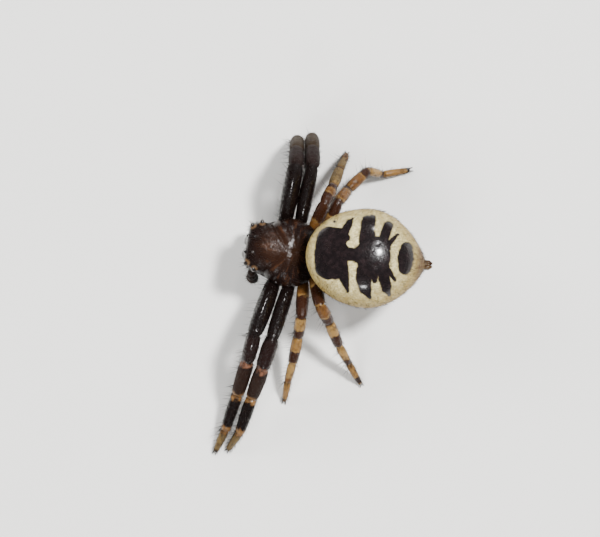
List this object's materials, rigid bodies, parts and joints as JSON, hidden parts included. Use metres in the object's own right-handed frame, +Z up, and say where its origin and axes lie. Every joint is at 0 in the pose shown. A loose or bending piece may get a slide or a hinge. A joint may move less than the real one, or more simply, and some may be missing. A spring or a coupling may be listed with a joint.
{
  "type": "crab spider",
  "caption": "Life-size crab spider at rest, with broad dark front legs, a dark carapace and a pale, black-patterned, egg-shaped abdomen.",
  "frame": {"origin": "on the floor, under the middle of the spider's box", "axes": "+Z up, the spider faces -Y, its left side is +X"},
  "size_m": [0.013, 0.0074, 0.0046],
  "materials": {
    "carapace": "glossy, finely wrinkled, very dark red-brown shell",
    "abdomen": "satin cream skin with a black comb-like pattern",
    "eye": "clear-glossy black lens",
    "dark_shell": "glossy black-brown shell",
    "brown_shell": "glossy chestnut shell",
    "tan_shell": "satin straw and orange-tan shell",
    "soft_skin": "matt soft skin of the waist"
  },
  "bodies": {
    "root": {"cephalothorax": "carapace", "eye_front_median_left": "eye", "eye_front_median_right": "eye", "eye_front_lateral_left": "eye", "eye_front_lateral_right": "eye", "eye_rear_median_left": "eye", "eye_rear_median_right": "eye", "eye_rear_lateral_left": "eye", "eye_rear_lateral_right": "eye", "abdomen": "abdomen", "pedicel": "soft_skin", "spinnerets": "brown_shell", "chelicera_left": "dark_shell", "palp_left": "dark_shell", "chelicera_right": "dark_shell", "palp_right": "dark_shell", "left_1_coxa": "dark_shell", "left_1_femur": "dark_shell", "left_1_patella": "dark_shell", "left_1_tibia": "brown_shell", "left_1_foot": "tan_shell", "left_2_coxa": "dark_shell", "left_2_femur": "dark_shell", "left_2_patella": "dark_shell", "left_2_tibia": "brown_shell", "left_2_foot": "tan_shell", "left_3_coxa": "brown_shell", "left_3_femur": "brown_shell", "left_3_patella": "brown_shell", "left_3_tibia": "brown_shell", "left_3_foot": "tan_shell", "left_4_coxa": "brown_shell", "left_4_femur": "brown_shell", "left_4_patella": "brown_shell", "left_4_tibia": "brown_shell", "left_4_foot": "tan_shell", "right_1_coxa": "dark_shell", "right_1_femur": "dark_shell", "right_1_patella": "dark_shell", "right_1_tibia": "brown_shell", "right_1_foot": "tan_shell", "right_2_coxa": "dark_shell", "right_2_femur": "dark_shell", "right_2_patella": "dark_shell", "right_2_tibia": "brown_shell", "right_2_foot": "tan_shell", "right_3_coxa": "brown_shell", "right_3_femur": "brown_shell", "right_3_patella": "brown_shell", "right_3_tibia": "brown_shell", "right_3_foot": "tan_shell", "right_4_coxa": "brown_shell", "right_4_femur": "brown_shell", "right_4_patella": "brown_shell", "right_4_tibia": "brown_shell", "right_4_foot": "tan_shell"}
  },
  "joints": []
}
